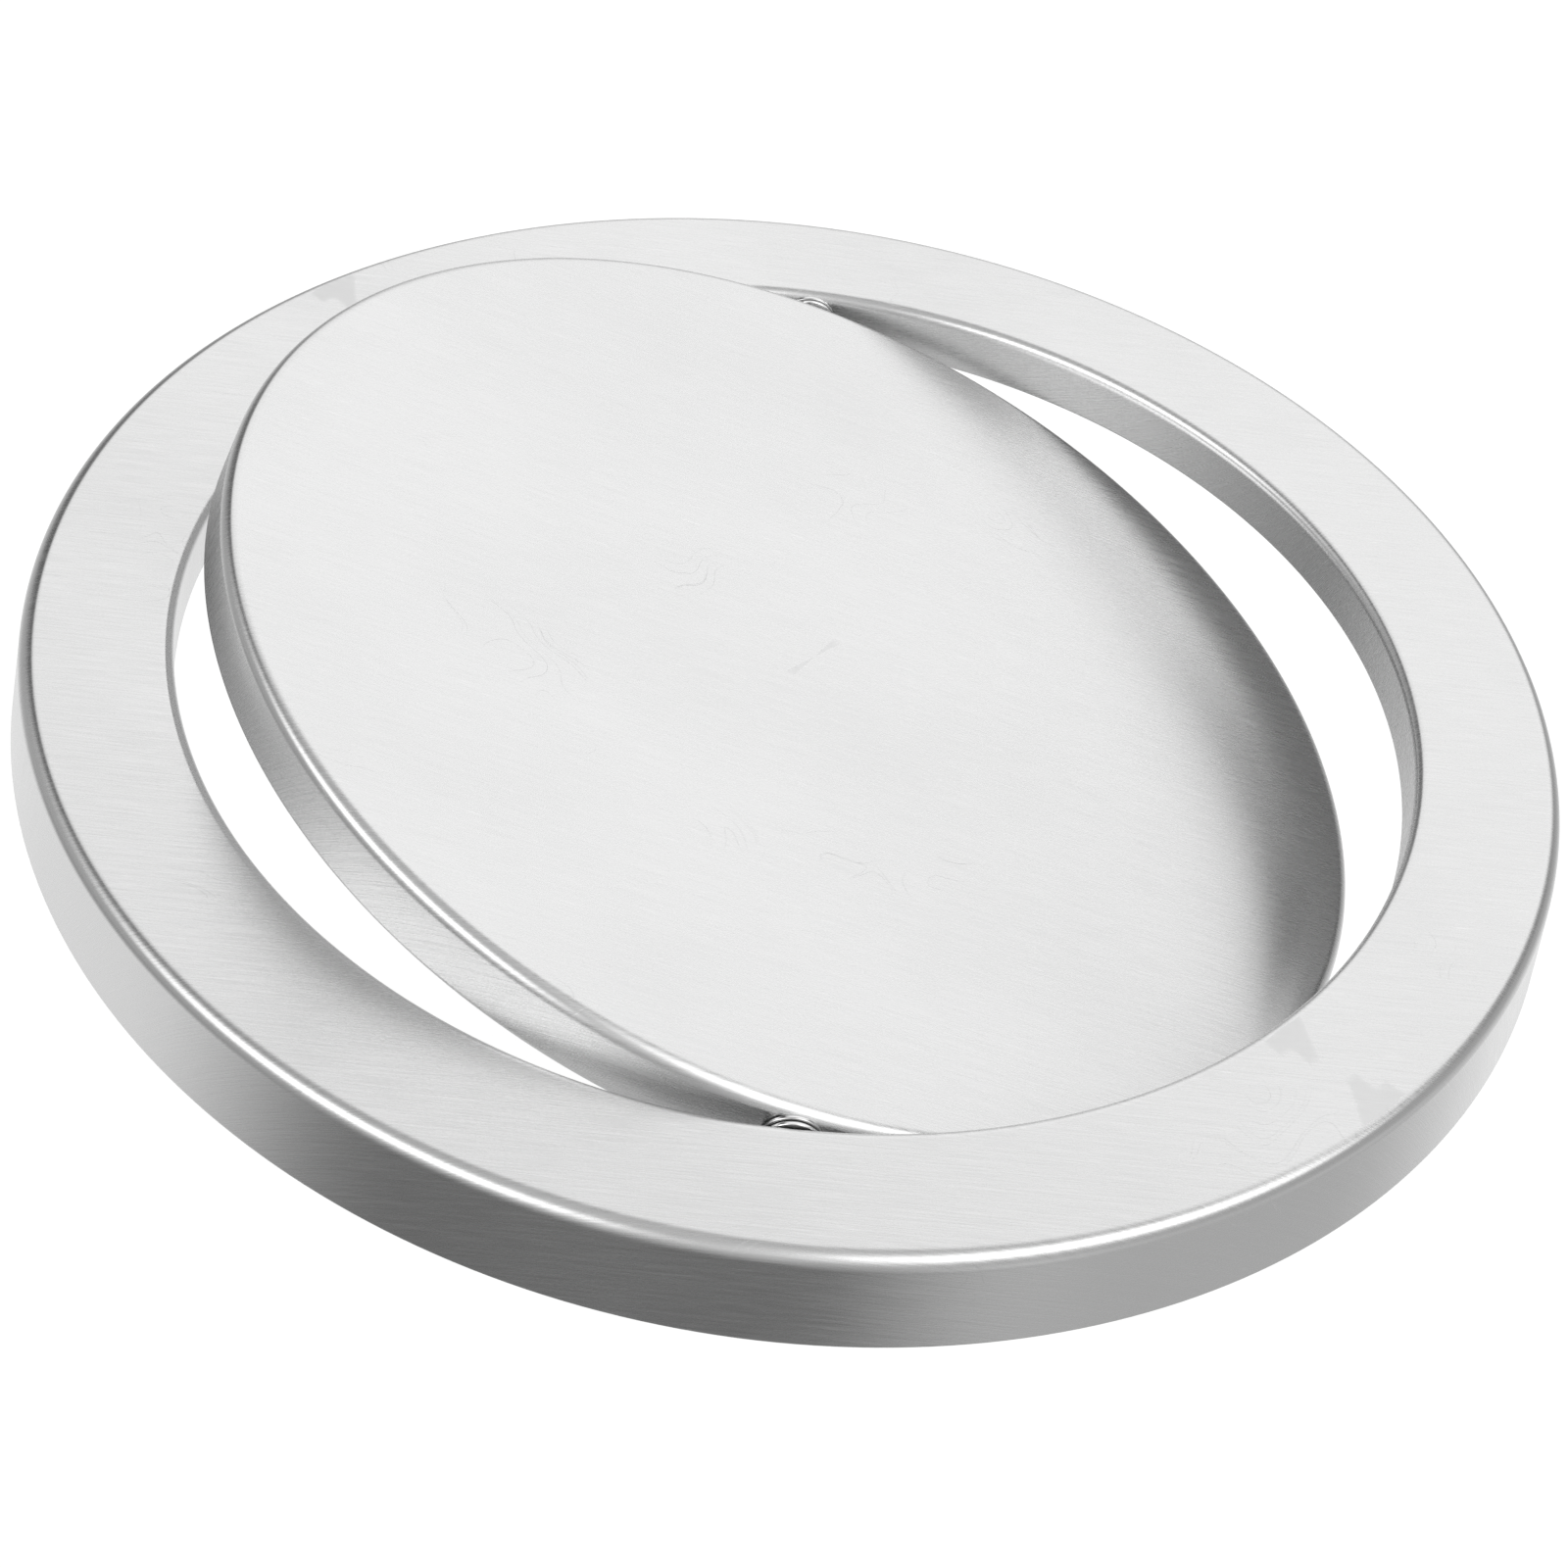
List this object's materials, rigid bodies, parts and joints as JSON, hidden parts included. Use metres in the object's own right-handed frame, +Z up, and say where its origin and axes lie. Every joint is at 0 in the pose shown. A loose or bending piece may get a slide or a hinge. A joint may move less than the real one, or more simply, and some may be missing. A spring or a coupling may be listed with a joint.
{
  "type": "swing-flap bin lid",
  "caption": "Round brushed-steel lid for a waste bin: a pressed ring with a deep skirt and a round flap that swings on two pivots and closes by its own weight.",
  "frame": {"origin": "middle of the pivot axis, on the ring's own axis, 5.2 mm below the ring's flat top", "axes": "+Z up out of the bin through the ring's top; Y along the pivot axis, front pivot at -Y; the flap is raised on the -X side at rest"},
  "size_m": [0.2632, 0.2632, 0.0666],
  "materials": {
    "ring_sheet": "satin stainless, straight brush lines that run on over the bends, the skirt and the collar",
    "flap_sheet": "satin stainless, straight brush lines that run on over the bend and the skirt",
    "back_plate_sheet": "mill finish stainless, duller than the face",
    "eyelet": "bright stainless with a rounded rim",
    "washer": "bright stainless",
    "pin": "turned stainless",
    "clip": "spring steel, dull",
    "weight": "zinc-plated mild steel, dull grey",
    "rivet": "domed stainless head"
  },
  "bodies": {
    "ring": {"ring_cover": "ring_sheet", "collar_eyelet_front": "eyelet", "collar_eyelet_rear": "eyelet", "thrust_washer_front": "washer", "thrust_washer_rear": "washer", "pivot_pin_front": "pin", "pivot_pin_rear": "pin", "retaining_clip_front": "clip", "retaining_clip_rear": "clip"},
    "flap": {"flap_cover": "flap_sheet", "flap_back_plate": "back_plate_sheet", "flap_eyelet_front": "eyelet", "flap_eyelet_rear": "eyelet", "counterweight": "weight", "weight_rivet_front": "rivet", "weight_rivet_rear": "rivet"}
  },
  "joints": [
    {"name": "flap_swing", "type": "hinge", "parent": "ring", "child": "flap", "pos_m": [0, 0, 0], "axis": [0, 1, 0], "continuous": true}
  ]
}
